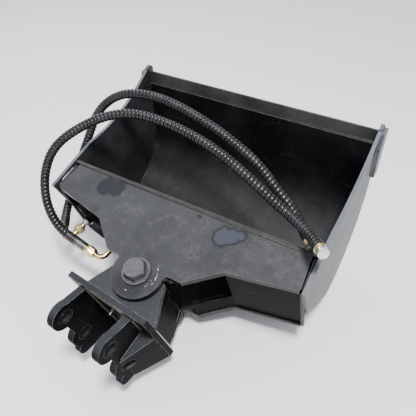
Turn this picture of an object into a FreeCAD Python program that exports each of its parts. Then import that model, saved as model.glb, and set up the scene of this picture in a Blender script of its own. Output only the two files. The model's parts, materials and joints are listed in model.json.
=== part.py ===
import FreeCAD, Part
import math
import os

# Hydraulic tilting grading bucket for a mini excavator, lying on its back with its mouth up.
# It is drawn in the "plate frame": z = 0 is the outer face of the housing's front plate, the tilt
# pivot's axis is x = y = 0, +X runs along the bucket's width, +Y towards the cutting edge.
# At the end the whole bucket leans back by LEAN, as it rests on its shell and its hitch.

V = FreeCAD.Vector
Z_AXIS = V(0, 0, 1)
X_AXIS = V(1, 0, 0)

# --- bucket -------------------------------------------------------------------------------
WIDTH = 800.0            # over the side plates
SIDE_T = 10.0            # side plate
SHELL_T = 8.0            # rolled shell
INNER = WIDTH / 2 - SIDE_T
BACK_Y = 230.0           # inner face of the shell's upright back
MOUTH_TOP = 10.0         # height of the side plates' mouth edge
BIG_R = 246.0            # inner radius of the shell's front sweep
HEEL_R = 120.0           # inner radius of the shell's heel
BIG_Z = -90.0            # centre height of the front sweep
SWEEP_Y = BACK_Y + HEEL_R
HEEL_Z = BIG_Z - BIG_R + HEEL_R
EDGE_Y = 634.0           # where the shell's line would cross the mouth plane
EDGE_T = 14.0            # cutting edge plate
EDGE_W = 112.0
EDGE_PROUD = 38.0        # how far the cutting edge stands beyond the shell
TIP_R = 12.0
SHELL_TOP = 4.0          # height of the shell's back edge
NEAR_TOP = V(0, 118, MOUTH_TOP)      # side plate's near corner at the mouth
NEAR_LOW = V(0, 132, -130)           # where its near edge turns to the heel
HEEL_RISE = 34.0                     # how far above the heel's axis that edge ends, going down
MOUTH_DIP = (V(0, 566, 4), V(0, 445, -9), V(0, 300, 7))   # the mouth edge is slightly hollow
TIP_BACK = 34.0          # width of the side plate's raised tip
STRIP_L = 150.0          # wear strip outside each tip
STRIP_W = 52.0

# --- tilt housing -------------------------------------------------------------------------
PLATE_T = 18.0
DEPTH = 251.0            # over both housing plates
LOBE_R = 71.0
NECK = V(116, 22.5, 0)
KNEE = V(200, 93, 0)
CORNER = V(384, 127, 0)
FAR_X = 374.0
RIB_T = 12.0
RIB_TOP = -160.0

# --- pivot --------------------------------------------------------------------------------
BOLT_R = 18.0
BOLT_AF = 55.0
HEAD_H = 22.0
NUT_H = 29.0
WASHER_R = 38.0
WASHER_T = 8.0
HUB_R = 40.0
BUSH_R = 23.0
RUNNING = 0.05           # radial clearance of a running fit
THRUST_T = 3.0
END_PLAY = 0.3

# --- hitch --------------------------------------------------------------------------------
HITCH_YAW = -4.4         # how the hitch stands at rest, in degrees about the pivot
TOP_T = 15.0
BASE_HALF = 125.0
BASE_Y = -105.0
BASE_T = 15.0
BASE_TOP = 50.0
BASE_BOTTOM = -205.0
EAR_X = 74.0             # middle of each ear
EAR_T = 20.0
PIN_Y = -184.0
PIN_UP = 28.0
PIN_LOW = -87.0
UPPER_LUG_R = 38.0
LOWER_LUG_R = 40.0
EAR_TOP = 35.0           # where the ears' top edge meets the base plate
HEEL_LOBE = V(0, -209, -138)   # rounded corner under each lower lug
HEEL_LOBE_R = 22.0
PIN_R = 15.0             # bore for a 30 mm pin
PIN_BUSH_R = 20.0
GUSSET_TIP_W = 3.0
PIN_WAY_R = 17.0
GUSSET_TOP = -47.0
GUSSET_TIP = -194.0

# --- tilt cylinder ------------------------------------------------------------------------
CYL_Z = -126.0
BASE_PIN = V(-358, 152, CYL_Z)
ARM = 85.0               # from the pivot to the rod pin
BARREL_R = 30.0
BORE_R = 25.0
ROD_R = 15.0
CROSS_PIN_R = 12.5
EYE_HALF = 30.5
EYE_BUSH_R = 16.5
LUG_T = 15.0
LUG_R = 28.0
LUG_GAP = 31.0           # half the gap between the lugs
PORT_A = 46.0            # ports, measured along the cylinder from its base pin
PORT_B = 186.0

# --- hoses --------------------------------------------------------------------------------
HOSE_D = 28.0
END_FERRULE = 7.0        # brass collar on a hose's free end
END_CAP = 13.0           # cap screwed on it for transport
HOSE_GAP = 6.5           # room for the cylinder's rocking between a ferrule and its hose

nodes = {}


def prism(points, low, high):
    """Upright solid over a closed outline given as (x, y) pairs."""
    corners = [V(p[0], p[1], low) for p in points]
    face = Part.Face(Part.makePolygon(corners + corners[:1]))
    return face.extrude(V(0, 0, high - low))


def side_prism(points, low, high):
    """Solid over a closed outline given as (y, z) pairs, between two x."""
    corners = [V(low, p[0], p[1]) for p in points]
    face = Part.Face(Part.makePolygon(corners + corners[:1]))
    return face.extrude(V(high - low, 0, 0))


def rod(radius, start, end):
    """Round bar between two points."""
    return Part.makeCylinder(radius, (end - start).Length, start, end - start)


def tube(outer, inner, start, end):
    return rod(outer, start, end).cut(rod(inner, start, end))


def hexagon(flats, start, end):
    """Hexagonal bar between two points on the Z axis' direction."""
    bar = Part.Face(Part.makePolygon([
        V(math.cos(k * math.pi / 3), math.sin(k * math.pi / 3), 0) * (flats / math.sqrt(3))
        for k in range(7)])).extrude(V(0, 0, (end - start).Length))
    bar.Placement = FreeCAD.Placement(start, FreeCAD.Rotation(Z_AXIS, end - start))
    return bar


def mirrored(shape):
    return shape.mirror(V(0, 0, 0), X_AXIS)


def pair(shape):
    """The shape and its mirror image, as one node of two solids."""
    return Part.makeCompound([shape, mirrored(shape)])


def on_circle(cy, cz, radius, degrees):
    """(y, z) of a point of a circle in the side view."""
    a = math.radians(degrees)
    return V(0, cy + radius * math.cos(a), cz + radius * math.sin(a))


# ------------------------------------------------------------------------------------------
# Shell profile. The straight front wall is tangent to the front sweep and aims at the mouth.
# ------------------------------------------------------------------------------------------
reach = math.hypot(EDGE_Y - SWEEP_Y, MOUTH_TOP - BIG_Z)
aim = math.degrees(math.atan2(MOUTH_TOP - BIG_Z, EDGE_Y - SWEEP_Y))
FRONT_DEG = aim - math.degrees(math.acos(BIG_R / reach))
wall_in = on_circle(SWEEP_Y, BIG_Z, BIG_R, FRONT_DEG)
wall_end = V(0, EDGE_Y, MOUTH_TOP)
wall_dir = (wall_end - wall_in).normalize()
wall_out = V(0, wall_dir.z, -wall_dir.y)          # square to the wall, outwards


def shell_line(offset, top_y, wall_stop):
    """Edges of the shell's profile at a distance outside its inner face, back to front."""
    heel = HEEL_R + offset
    big = BIG_R + offset
    back = V(0, SWEEP_Y - heel, HEEL_Z)
    bottom = V(0, SWEEP_Y, HEEL_Z - heel)
    front = on_circle(SWEEP_Y, BIG_Z, big, FRONT_DEG)
    stop = wall_end + wall_out * offset - wall_dir * wall_stop
    return [
        Part.LineSegment(V(0, SWEEP_Y - heel, top_y), back).toShape(),
        Part.Arc(back, on_circle(SWEEP_Y, HEEL_Z, heel, 225), bottom).toShape(),
        Part.Arc(bottom, on_circle(SWEEP_Y, BIG_Z, big, (FRONT_DEG - 90) / 2), front).toShape(),
        Part.LineSegment(front, stop).toShape(),
    ]


def make_shell():
    inner = shell_line(0, SHELL_TOP, EDGE_PROUD)
    outer = shell_line(SHELL_T, SHELL_TOP, EDGE_PROUD)
    ends = [
        Part.LineSegment(inner[0].Vertexes[0].Point, outer[0].Vertexes[0].Point).toShape(),
        Part.LineSegment(inner[-1].Vertexes[-1].Point, outer[-1].Vertexes[-1].Point).toShape(),
    ]
    face = Part.Face(Part.Wire(Part.__sortEdges__(inner + outer + ends)))
    face.translate(V(-INNER, 0, 0))
    return face.extrude(V(2 * INNER, 0, 0))


def make_cutting_edge():
    """Flat bar lapped on the outside of the shell's front wall, bevelled along its outer top."""
    low = wall_end + wall_out * SHELL_T - wall_dir * EDGE_W
    inner_top = wall_end + wall_out * SHELL_T + wall_dir * 2
    bevel = inner_top + wall_out * 5
    outer_bevel = inner_top + wall_out * EDGE_T - wall_dir * 16
    outer_low = low + wall_out * EDGE_T
    outline = [(p.y, p.z) for p in (low, inner_top, bevel, outer_bevel, outer_low)]
    return side_prism(outline, -INNER, INNER)


def side_outline():
    """Edges of a side plate: the mouth edge, the raised tip and the shell's outer line."""
    outer = shell_line(SHELL_T, 0, 0)
    heel_out = HEEL_R + SHELL_T
    heel_deg = 180 + math.degrees(math.asin(HEEL_RISE / heel_out))
    heel_start = on_circle(SWEEP_Y, HEEL_Z, heel_out, heel_deg)
    bottom = V(0, SWEEP_Y, HEEL_Z - heel_out)
    front = outer[3].Vertexes[0].Point
    edge_low = wall_end + wall_out * (SHELL_T + EDGE_T) - wall_dir * (EDGE_W + 22)
    foot = wall_end + wall_out * SHELL_T - wall_dir * (EDGE_W + 34)
    edge_top = wall_end + wall_out * (SHELL_T + EDGE_T + 4) + wall_dir * 8
    tip_mid = edge_top + wall_dir * TIP_R - wall_out * TIP_R * 0.9
    tip_in = edge_top - wall_out * TIP_BACK + wall_dir * 2
    dip_start, dip_mid, dip_end = MOUTH_DIP
    return [
        Part.LineSegment(NEAR_TOP, NEAR_LOW),
        Part.LineSegment(NEAR_LOW, heel_start),
        Part.Arc(heel_start, on_circle(SWEEP_Y, HEEL_Z, heel_out, 235), bottom),
        Part.Arc(bottom, on_circle(SWEEP_Y, BIG_Z, BIG_R + SHELL_T, (FRONT_DEG - 90) / 2), front),
        Part.LineSegment(front, foot),
        Part.LineSegment(foot, edge_low),
        Part.LineSegment(edge_low, edge_top),
        Part.Arc(edge_top, tip_mid, tip_in),
        Part.LineSegment(tip_in, dip_start),
        Part.Arc(dip_start, dip_mid, dip_end),
        Part.LineSegment(dip_end, V(0, BACK_Y, MOUTH_TOP)),
        Part.LineSegment(V(0, BACK_Y, MOUTH_TOP), NEAR_TOP),
    ]


def make_side_plate():
    wire = Part.Wire([e.toShape() for e in side_outline()])
    face = Part.Face(wire)
    face.translate(V(INNER, 0, 0))
    return face.extrude(V(SIDE_T, 0, 0))


def make_side_strip():
    """Wear strip on the outside of a side plate, down from its tip."""
    top = wall_end + wall_out * (SHELL_T + EDGE_T + 4) + wall_dir * 6
    low = top - wall_dir * STRIP_L
    low_in = low - wall_out * (STRIP_W - 18)
    top_in = top - wall_out * STRIP_W - wall_dir * 40
    tip = top - wall_out * (STRIP_W - 14)
    outline = [(p.y, p.z) for p in (top, low, low_in, top_in, tip)]
    return side_prism(outline, WIDTH / 2, WIDTH / 2 + SIDE_T)


nodes["shell"] = make_shell()
nodes["cutting_edge"] = make_cutting_edge()
nodes["side_plate_right"] = make_side_plate()
nodes["side_plate_left"] = mirrored(nodes["side_plate_right"])
nodes["side_strip_right"] = make_side_strip()
nodes["side_strip_left"] = mirrored(nodes["side_strip_right"])


# ------------------------------------------------------------------------------------------
# Tilt housing
# ------------------------------------------------------------------------------------------
def housing_outline():
    """Half of a housing plate's outline: far edge, end, knee, neck and the fillet to the lobe."""
    fillet_r = 11.0
    fillet_y = NECK.y - fillet_r
    fillet_x = math.sqrt((LOBE_R + fillet_r) ** 2 - fillet_y ** 2)
    centre = V(fillet_x, fillet_y, 0)
    touch = centre * (LOBE_R / (LOBE_R + fillet_r))
    return centre, fillet_r, touch


def housing_plate(low):
    centre, fillet_r, touch = housing_outline()
    back = BACK_Y - SHELL_T
    top = V(centre.x, NECK.y, 0)
    mid_deg = (90 + math.degrees(math.atan2(-centre.y, -centre.x)) + 360) / 2
    mid = centre + V(math.cos(math.radians(mid_deg)), math.sin(math.radians(mid_deg)), 0) * fillet_r

    def left(p):
        return V(-p.x, p.y, p.z)

    far = V(FAR_X, back, 0)
    edges = [
        Part.LineSegment(left(far), far),
        Part.LineSegment(far, CORNER),
        Part.LineSegment(CORNER, KNEE),
        Part.LineSegment(KNEE, NECK),
        Part.LineSegment(NECK, top),
        Part.Arc(top, mid, touch),
        Part.Arc(touch, V(0, -LOBE_R, 0), left(touch)),
        Part.Arc(left(touch), left(mid), left(top)),
        Part.LineSegment(left(top), left(NECK)),
        Part.LineSegment(left(NECK), left(KNEE)),
        Part.LineSegment(left(KNEE), left(CORNER)),
        Part.LineSegment(left(CORNER), left(far)),
    ]
    plate = Part.Face(Part.Wire([e.toShape() for e in edges])).extrude(V(0, 0, PLATE_T))
    corners = [e for e in plate.Edges
               if abs(e.Vertexes[0].X - e.Vertexes[-1].X) < 0.01
               and abs(abs(e.Vertexes[0].X) - CORNER.x) < 0.01
               and abs(e.Vertexes[0].Y - e.Vertexes[-1].Y) < 0.01]
    plate = plate.makeFillet(8, corners)
    plate.translate(V(0, 0, low))
    return plate.cut(rod(BOLT_R + RUNNING, V(0, 0, low - 1), V(0, 0, low + PLATE_T + 1)))


def along(start, end, inset, length=None, extra=0.0):
    """Start and end of a line beside start-end, moved to its left by inset."""
    d = V(end.x - start.x, end.y - start.y, 0).normalize()
    n = V(-d.y, d.x, 0)
    run = (end - start).Length if length is None else length
    return start + n * inset - d * extra, start + n * inset + d * run


def upright(start, end, inset, thick, low, high, length=None, extra=0.0):
    """Standing plate beside the line start-end, on its left."""
    a, b = along(start, end, inset, length, extra)
    c, d = along(start, end, inset + thick, length, extra)
    return prism([(a.x, a.y), (b.x, b.y), (d.x, d.y), (c.x, c.y)], low, high)


FLOOR_Z = -DEPTH + PLATE_T
nodes["housing_front_plate"] = housing_plate(-PLATE_T)
nodes["housing_rear_plate"] = housing_plate(-DEPTH)
rib_right = upright(NECK, KNEE, 3, RIB_T, FLOOR_Z, RIB_TOP, 170)
nodes["stop_ribs"] = pair(rib_right)
closing = upright(KNEE, CORNER, 3, 10, FLOOR_Z, -PLATE_T, (CORNER - KNEE).Length - 2)
nodes["closing_plate"] = closing.cut(rib_right)
back_out = BACK_Y - SHELL_T
filler = prism([(FAR_X - 14, 132), (INNER, 132), (INNER, back_out), (FAR_X - 14, back_out)],
               -PLATE_T - 12, -PLATE_T)
nodes["end_fillers"] = pair(filler.cut(closing))


def base_lug(low):
    """Lug inside the housing that holds the cylinder's base pin, welded to the shell's back."""
    x, y = BASE_PIN.x, BASE_PIN.y
    web = [(x - 26, y + 8), (x - 26, back_out), (x + 36, back_out), (x + LUG_R, y)]
    lug = prism(web, low, low + LUG_T).fuse(rod(LUG_R, V(x, y, low), V(x, y, low + LUG_T)))
    lug = lug.cut(rod(CROSS_PIN_R, V(x, y, low - 1), V(x, y, low + LUG_T + 1)))
    return lug.removeSplitter()


LUG_UP = CYL_Z + LUG_GAP
LUG_DOWN = CYL_Z - LUG_GAP - LUG_T
nodes["base_lugs"] = Part.makeCompound([base_lug(LUG_UP), base_lug(LUG_DOWN)])


def cross_pin(centre):
    """Headed pin through a pair of lugs."""
    top = V(centre.x, centre.y, LUG_UP + LUG_T)
    low = V(centre.x, centre.y, LUG_DOWN - 12)
    head = rod(CROSS_PIN_R + 6.5, top, top + Z_AXIS * 7)
    return rod(CROSS_PIN_R, low, top).fuse(head).removeSplitter()


def pin_clip(centre):
    """Retaining ring on the pin's lower end."""
    low = V(centre.x, centre.y, LUG_DOWN - 7)
    return tube(20, CROSS_PIN_R, low, low + Z_AXIS * 5)


nodes["base_pin"] = cross_pin(BASE_PIN)
nodes["base_pin_clip"] = pin_clip(BASE_PIN)

# ------------------------------------------------------------------------------------------
# Tilt pivot: one big bolt through both housing plates
# ------------------------------------------------------------------------------------------
O = V(0, 0, 0)
head_low = V(0, 0, WASHER_T)
shank_low = V(0, 0, -DEPTH - WASHER_T - NUT_H - 7)
bolt = rod(BOLT_R, shank_low, head_low)
head = hexagon(BOLT_AF, head_low, head_low + Z_AXIS * HEAD_H)
cone_h = 16.0
cone_low = head_low + Z_AXIS * (HEAD_H - cone_h)
chamfer = Part.makeCone(BOLT_AF / 2 + 14, BOLT_AF / 2 - 1.5, cone_h, cone_low)
core = rod(BOLT_AF, head_low, cone_low)
head = head.common(chamfer.fuse(core))
nodes["pivot_bolt"] = bolt.fuse(head).removeSplitter()
nut_top = V(0, 0, -DEPTH - WASHER_T)
nodes["pivot_washers"] = Part.makeCompound([
    tube(WASHER_R, BOLT_R, O, head_low), tube(WASHER_R, BOLT_R, nut_top, V(0, 0, -DEPTH))])
nut_low = nut_top - Z_AXIS * NUT_H
nodes["pivot_nut"] = hexagon(BOLT_AF, nut_low, nut_top).cut(rod(BOLT_R, nut_low, nut_top))
hub_top = -PLATE_T - THRUST_T - END_PLAY
hub_low = FLOOR_Z + THRUST_T + END_PLAY
nodes["thrust_washers"] = Part.makeCompound([
    tube(52, BOLT_R, V(0, 0, low), V(0, 0, low + THRUST_T)) for low in (-PLATE_T - THRUST_T, FLOOR_Z)])

# ------------------------------------------------------------------------------------------
# Hitch, drawn square to the bucket and turned by HITCH_YAW at the end
# ------------------------------------------------------------------------------------------
hitch = {}
BASE_BACK = BASE_Y + BASE_T
HUB_DISC_R = 60.0
FLARE_END = 14.0
TOP_NEAR_HALF, TOP_FAR_HALF = 117.0, 72.0
LOW_NEAR_HALF, LOW_FAR_HALF, LOW_NEAR_Y = 90.0, 66.0, -58.0
CHEEK_T = 12.0
CHEEK_UP_INSET, CHEEK_LOW_INSET = 1.0, 9.0
BASE_CORNER_R = 8.0
EAR_BACK = 16.0
GUSSET_DROP = 26.0
NIPPLE_Z = -20.0
NIPPLE_HEX_R, NIPPLE_HEX_T = 5.0, 5.0
NIPPLE_TIP_R, NIPPLE_TIP_L = 2.6, 10.0
ARM_ROOT_Y, ARM_ROOT_HALF, ARM_END_R = 26.0, 30.0, 24.0
CUT = 1.0


def hub_plate(low, near_half, near_y, far_half):
    """Top or bottom plate of the hitch: flares from the hub to the base plate."""
    outline = [(-near_half, near_y), (near_half, near_y), (far_half, FLARE_END), (-far_half, FLARE_END)]
    disc = rod(HUB_DISC_R, V(0, 0, low), V(0, 0, low + TOP_T))
    hole = rod(HUB_R, V(0, 0, low - CUT), V(0, 0, low + TOP_T + CUT))
    return prism(outline, low, low + TOP_T).fuse(disc).cut(hole).removeSplitter()


top_low = hub_top - TOP_T
hitch["hitch_top_plate"] = hub_plate(top_low, TOP_NEAR_HALF, BASE_BACK, TOP_FAR_HALF)
hitch["hitch_bottom_plate"] = hub_plate(hub_low, LOW_NEAR_HALF, LOW_NEAR_Y, LOW_FAR_HALF)
hub = tube(HUB_R, BUSH_R, V(0, 0, hub_low), V(0, 0, hub_top))
hitch["hub_tube"] = hub
bush_len = 60.0
hitch["hub_bushes"] = Part.makeCompound([
    tube(BUSH_R, BOLT_R + RUNNING, V(0, 0, low), V(0, 0, low + bush_len))
    for low in (hub_top - bush_len, hub_low)])

base = prism([(-BASE_HALF, BASE_Y), (BASE_HALF, BASE_Y), (BASE_HALF, BASE_BACK),
              (-BASE_HALF, BASE_BACK)], BASE_BOTTOM, BASE_TOP)
corners = [e for e in base.Edges if abs(e.Vertexes[0].Y - e.Vertexes[-1].Y) > 1]
hitch["hitch_base_plate"] = base.makeFillet(BASE_CORNER_R, corners)


def cheek(inset, low, high, slope):
    """Side wall between the hitch's plates, from the base plate to the hub."""
    start, end = V(TOP_NEAR_HALF, BASE_BACK, 0), V(TOP_FAR_HALF, FLARE_END, 0)
    wall = upright(start, end, inset, CHEEK_T, low, high)
    keep = side_prism([(BASE_BACK, slope), (LOW_NEAR_Y, low), (HUB_DISC_R, low), (HUB_DISC_R, 0),
                       (BASE_BACK, 0)], -BASE_HALF, BASE_HALF)
    return wall.common(keep)


cheek_mid = -85.0
hitch["cheeks_upper"] = pair(cheek(CHEEK_UP_INSET, cheek_mid, top_low, cheek_mid))
hitch["cheeks_lower"] = pair(cheek(CHEEK_LOW_INSET, hub_low + TOP_T, cheek_mid, BASE_BOTTOM + 8))


def ear_shape():
    """Ear with a lug round each pin and a small rounded heel under the lower one."""
    inner_x, outer_x = EAR_X - EAR_T / 2, EAR_X + EAR_T / 2
    body = side_prism([
        (BASE_Y, EAR_TOP), (PIN_Y, PIN_UP + UPPER_LUG_R), (PIN_Y - EAR_BACK, PIN_UP),
        (PIN_Y - EAR_BACK, HEEL_LOBE.z), (HEEL_LOBE.y - 8, HEEL_LOBE.z - HEEL_LOBE_R + 2),
        (BASE_Y, BASE_BOTTOM + 8)], inner_x, outer_x)
    for y, z, radius in ((PIN_Y, PIN_UP, UPPER_LUG_R), (PIN_Y, PIN_LOW, LOWER_LUG_R),
                         (HEEL_LOBE.y, HEEL_LOBE.z, HEEL_LOBE_R)):
        body = body.fuse(rod(radius, V(inner_x, y, z), V(outer_x, y, z)))
    for z in (PIN_UP, PIN_LOW):
        body = body.cut(rod(PIN_BUSH_R, V(0, PIN_Y, z), V(BASE_HALF, PIN_Y, z)))
    return body.removeSplitter()


ear_out = EAR_X + EAR_T / 2
hitch["ear_right"] = ear_shape()
hitch["ear_left"] = mirrored(hitch["ear_right"])
for name, z in (("upper", PIN_UP), ("lower", PIN_LOW)):
    bush_in, bush_out = V(EAR_X - EAR_T / 2, PIN_Y, z), V(ear_out, PIN_Y, z)
    hitch["pin_bushes_" + name] = pair(tube(PIN_BUSH_R, PIN_R, bush_in, bush_out))

gusset = prism([(ear_out, BASE_Y), (BASE_HALF, BASE_Y), (ear_out + GUSSET_TIP_W, GUSSET_TIP),
                (ear_out, GUSSET_TIP)], BASE_BOTTOM, GUSSET_TOP)
under_ear = side_prism([(BASE_Y, 0), (BASE_Y, BASE_BOTTOM + 10), (GUSSET_TIP, HEEL_LOBE.z - GUSSET_DROP),
                        (GUSSET_TIP, 0)], ear_out, BASE_HALF)
pin_way = rod(PIN_WAY_R, V(ear_out, PIN_Y, PIN_LOW), V(BASE_HALF, PIN_Y, PIN_LOW))
hitch["gussets"] = pair(gusset.common(under_ear).cut(pin_way))

nipple_neck = V(0, BASE_Y - NIPPLE_HEX_T, NIPPLE_Z)
nipple_tip = V(0, BASE_Y - NIPPLE_HEX_T - NIPPLE_TIP_L, NIPPLE_Z)
nipple = rod(NIPPLE_HEX_R, V(0, BASE_Y, NIPPLE_Z), nipple_neck).fuse(
    rod(NIPPLE_TIP_R, nipple_neck, nipple_tip))
hitch["grease_nipple"] = nipple.removeSplitter()


def rod_lug(low):
    """Crank plate on the hub that holds the rod pin."""
    arm = prism([(-ARM_ROOT_HALF, ARM_ROOT_Y), (ARM_ROOT_HALF, ARM_ROOT_Y), (ARM_END_R, ARM),
                 (-ARM_END_R, ARM)], low, low + LUG_T)
    arm = arm.fuse(rod(ARM_END_R, V(0, ARM, low), V(0, ARM, low + LUG_T)))
    arm = arm.cut(rod(HUB_R, V(0, 0, low - CUT), V(0, 0, low + LUG_T + CUT)))
    pin_hole = rod(CROSS_PIN_R, V(0, ARM, low - CUT), V(0, ARM, low + LUG_T + CUT))
    return arm.cut(pin_hole).removeSplitter()


hitch["rod_lugs"] = Part.makeCompound([rod_lug(LUG_UP), rod_lug(LUG_DOWN)])
hitch["rod_pin"] = cross_pin(V(0, ARM, 0))
hitch["rod_pin_clip"] = pin_clip(V(0, ARM, 0))

for name, shape in hitch.items():
    shape.rotate(O, Z_AXIS, HITCH_YAW)
    nodes[name] = shape

# ------------------------------------------------------------------------------------------
# Tilt cylinder, drawn along +X from its base pin and then laid between its two pins
# ------------------------------------------------------------------------------------------
yaw = math.radians(HITCH_YAW)
rod_pin_at = V(-ARM * math.sin(yaw), ARM * math.cos(yaw), CYL_Z)
stretch = rod_pin_at - BASE_PIN
REACH = stretch.Length
CYL_DEG = math.degrees(math.atan2(stretch.y, stretch.x))
BARREL_START = 30.0
BARREL_END = 232.0
GLAND_END = 262.0
cyl = {}


def at(a, b=0.0):
    """Point a along the cylinder and b towards its port side."""
    return V(a, -b, 0)


eye_low, eye_top = V(0, 0, -EYE_HALF), V(0, 0, EYE_HALF)
base_eye = tube(26, EYE_BUSH_R, eye_low, eye_top)
neck_block = rod(BARREL_R, at(22), at(BARREL_START)).fuse(rod(21, at(14), at(24)))
neck_block = neck_block.cut(rod(25.9, eye_low * 2, eye_top * 2))
base_eye = base_eye.fuse(neck_block).removeSplitter()
cyl["cylinder_base_eye"] = base_eye
cyl["base_eye_bush"] = tube(EYE_BUSH_R, CROSS_PIN_R + RUNNING, eye_low, eye_top)
barrel = tube(BARREL_R, BORE_R, at(BARREL_START), at(BARREL_END))
for a in (PORT_A, PORT_B):
    barrel = barrel.fuse(rod(13, at(a, BORE_R + 2), at(a, BARREL_R + 8)))
    barrel = barrel.cut(rod(BORE_R, at(BARREL_START), at(BARREL_END)))
    barrel = barrel.cut(rod(6, at(a, BORE_R - 6), at(a, BARREL_R + 9)))
cyl["cylinder_barrel_tube"] = barrel.removeSplitter()
gland = tube(34, ROD_R + RUNNING, at(BARREL_END), at(GLAND_END))
gland = gland.fuse(tube(BORE_R, ROD_R + RUNNING, at(BARREL_END - 22), at(BARREL_END)))
cyl["cylinder_gland"] = gland.removeSplitter()
cyl["rod_wiper"] = tube(20, ROD_R + RUNNING, at(GLAND_END), at(GLAND_END + 4))

# Port fittings. Both adapters point to the cylinder's port side.
port_face = BARREL_R + 8
ADAPTER = 22.0
SWIVEL_A = 24.0
SWIVEL_B = 34.0
adapter_end = port_face + ADAPTER
nut_a_end = adapter_end + SWIVEL_A
cyl["adapter_a"] = rod(9, at(PORT_A, port_face), at(PORT_A, adapter_end))
cyl["adapter_b"] = rod(9, at(PORT_B, port_face), at(PORT_B, adapter_end))
cyl["swivel_nut_a"] = hexagon(26, at(PORT_A, adapter_end), at(PORT_A, nut_a_end))


def lay(shape):
    """From the cylinder's own axes to the plate frame."""
    shape.rotate(O, Z_AXIS, CYL_DEG)
    shape.translate(BASE_PIN)
    return shape


def lay_point(p):
    return FreeCAD.Placement(BASE_PIN, FreeCAD.Rotation(Z_AXIS, CYL_DEG)).multVec(p)


def swept(edges, radius):
    """Round bar along joined edges."""
    wire = Part.Wire(edges)
    first = wire.Edges[0]
    start = first.valueAt(first.FirstParameter)
    tangent = first.tangentAt(first.FirstParameter)
    ring = Part.Wire(Part.makeCircle(radius, start, tangent))
    return wire.makePipeShell([ring], True, False)


def bent(start, heading, towards, radius, lead, tail):
    """Edges of a bent pipe: a straight lead, an arc from heading round to towards, a tail."""
    turn = math.acos(heading.dot(towards))
    across = (towards - heading * math.cos(turn)).normalize()
    a = start + heading * lead

    def on_bend(angle):
        return a + heading * radius * math.sin(angle) + across * radius * (1 - math.cos(angle))

    b = on_bend(turn)
    c = b + towards * tail
    edges = [Part.LineSegment(start, a), Part.Arc(a, on_bend(turn / 2), b), Part.LineSegment(b, c)]
    return [e.toShape() for e in edges], c


# Piston, rod and rod eye move along the cylinder.
PISTON_BACK = REACH - 240.0
PISTON_L = 34.0
PISTON_HOLE_R = 10.0
EYE_R = 30.0
SLOT = 13.0              # sideways room in the rod eye: the rod pin swings on an arc
SLOT_R = CROSS_PIN_R + 3.0
sliding = {}
piston_front = at(PISTON_BACK + PISTON_L)
sliding["piston"] = tube(BORE_R - 0.06, PISTON_HOLE_R, at(PISTON_BACK), piston_front)
nose = rod(PISTON_HOLE_R, at(PISTON_BACK - 2), piston_front)
stem = rod(ROD_R, piston_front, at(REACH - 32))
sliding["piston_rod"] = nose.fuse(stem).removeSplitter()
piston_nut = hexagon(30, at(PISTON_BACK - 16), at(PISTON_BACK))
sliding["piston_nut"] = piston_nut.cut(nose)


def slot_bar(radius, half, shift_low, shift_high):
    """Upright bar with a slot-shaped section across the cylinder."""
    ends = [at(REACH, shift_low), at(REACH, shift_high)]
    up = V(0, 0, half)
    bar = rod(radius, ends[0] - up, ends[0] + up).fuse(rod(radius, ends[1] - up, ends[1] + up))
    box = Part.makeBox(2 * radius, abs(shift_high - shift_low), 2 * half,
                       V(REACH - radius, -max(shift_low, shift_high), -half))
    return bar.fuse(box).removeSplitter()


rod_eye = slot_bar(EYE_R, EYE_HALF, -1, SLOT)
socket = rod(22, at(REACH - 56), at(REACH - 20))
rod_eye = rod_eye.fuse(socket).cut(slot_bar(SLOT_R, EYE_HALF + 1, 0, SLOT))
rod_eye = rod_eye.cut(rod(ROD_R, at(REACH - 57), at(REACH - 32)))
sliding["rod_eye"] = rod_eye.removeSplitter()

for group in (cyl, sliding):
    for name, shape in group.items():
        nodes[name] = lay(shape)

# Elbows, swivel nut B and both crimped ferrules, in the plate frame.
FERRULE = 38.0
OUT = FreeCAD.Rotation(Z_AXIS, CYL_DEG).multVec(V(0, -1, 0))
A_DIR = V(-0.61, 0.79, -0.04).normalize()
B_DIR = V(-0.93, 0.075, 0.37).normalize()
elbow_a, ferrule_a_start = bent(lay_point(at(PORT_A, nut_a_end)), OUT, A_DIR, 17.0, 18.0, 6.0)
elbow_b, nut_b_start = bent(lay_point(at(PORT_B, adapter_end)), OUT, B_DIR, 21.0, 22.0, 6.0)
ferrule_a_end = ferrule_a_start + A_DIR * FERRULE
ferrule_b_start = nut_b_start + B_DIR * SWIVEL_B
ferrule_b_end = ferrule_b_start + B_DIR * FERRULE
nodes["elbow_a"] = swept(elbow_a, 8)
nodes["elbow_b"] = swept(elbow_b, 8)
nodes["swivel_nut_b"] = hexagon(26, nut_b_start, ferrule_b_start)
nodes["ferrule_a"] = rod(15, ferrule_a_start, ferrule_a_end)
nodes["ferrule_b"] = rod(15, ferrule_b_start, ferrule_b_end)


# ------------------------------------------------------------------------------------------
# Hoses. Each route is a list of points; straight runs are joined by the largest arcs that fit.
# ------------------------------------------------------------------------------------------
def route_a():
    start = ferrule_a_end + A_DIR * HOSE_GAP
    return [start, V(-414, 107, -131), V(-434, 155, -125), V(-444, 217, -97), V(-438, 276, -49),
            V(-429, 336, -4), V(-413, 388, 47), V(-368, 430, 85), V(-302, 454, 106),
            V(-209, 464, 108), V(-117, 455, 102), V(-22, 436, 92), V(69, 411, 80), V(156, 380, 65),
            V(227, 339, 41), V(299, 302, 19), V(356, 241, 23)]


def route_b():
    start = ferrule_b_end + B_DIR * HOSE_GAP
    return [start, V(-324, 29, -74), V(-373, 47, -54), V(-413, 82, -22), V(-435, 132, 22),
            V(-427, 193, 72), V(-386, 254, 102), V(-312, 331, 121), V(-226, 372, 127),
            V(-124, 381, 117), V(-19, 372, 106), V(82, 349, 93), V(185, 315, 69),
            V(245, 295, 51), V(299, 276, 46), V(369, 232, 68), V(399, 200, 92)]


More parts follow.
